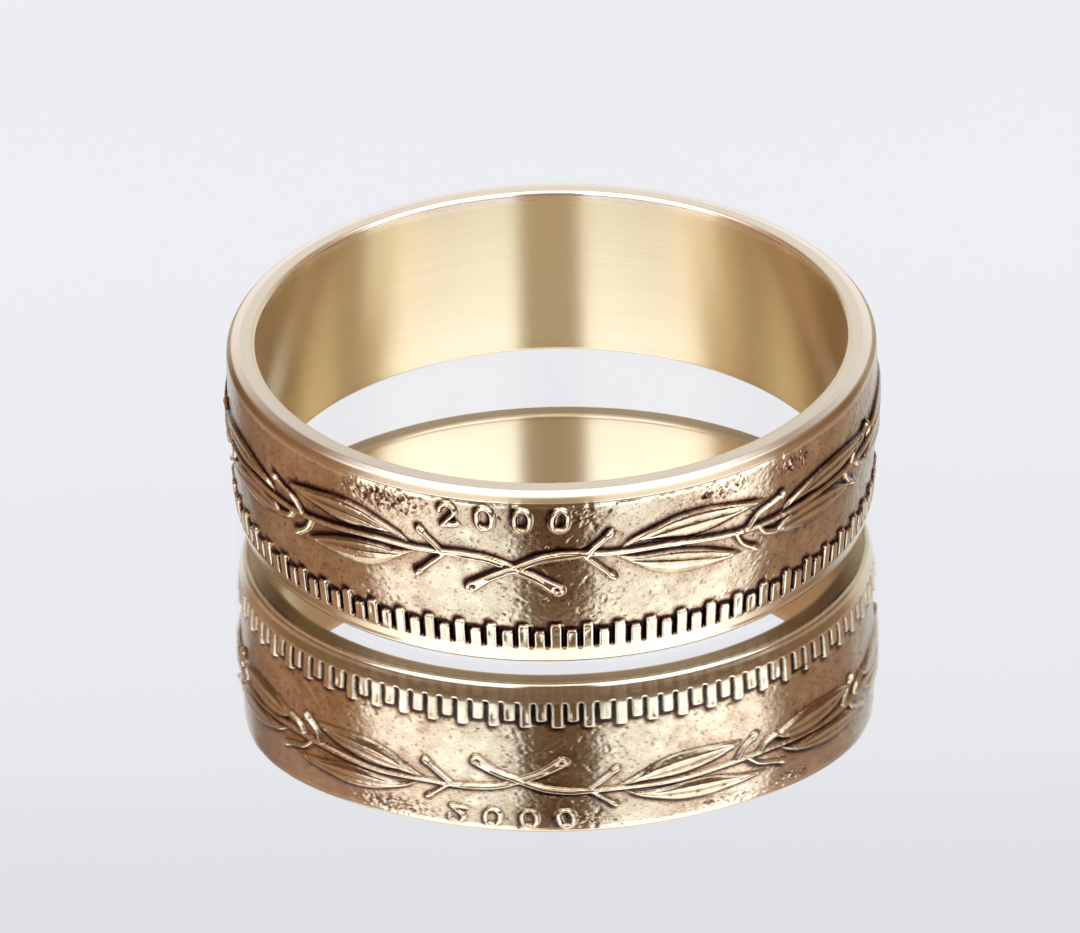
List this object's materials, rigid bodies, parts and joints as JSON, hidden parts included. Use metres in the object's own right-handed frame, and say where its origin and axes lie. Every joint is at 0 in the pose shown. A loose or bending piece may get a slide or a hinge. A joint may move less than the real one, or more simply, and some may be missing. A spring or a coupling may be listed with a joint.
{
  "type": "coin ring",
  "caption": "Plain round finger ring folded from a struck bronze coin, with a toothed rim below, a crossed olive-branch wreath round the outside and a polished bore.",
  "frame": {"origin": "centre of the finger hole in the plane that the toothed rim rests on", "axes": "+Z along the finger hole, from the toothed rim to the polished edge; -Y towards the side where the branches cross; +X to the right seen from there"},
  "size_m": [0.0212, 0.0211, 0.0061],
  "materials": {
    "bronze": "polished bore and rims, dark patina in the struck relief"
  },
  "bodies": {
    "root": {"coin_ring": "bronze"}
  },
  "joints": []
}
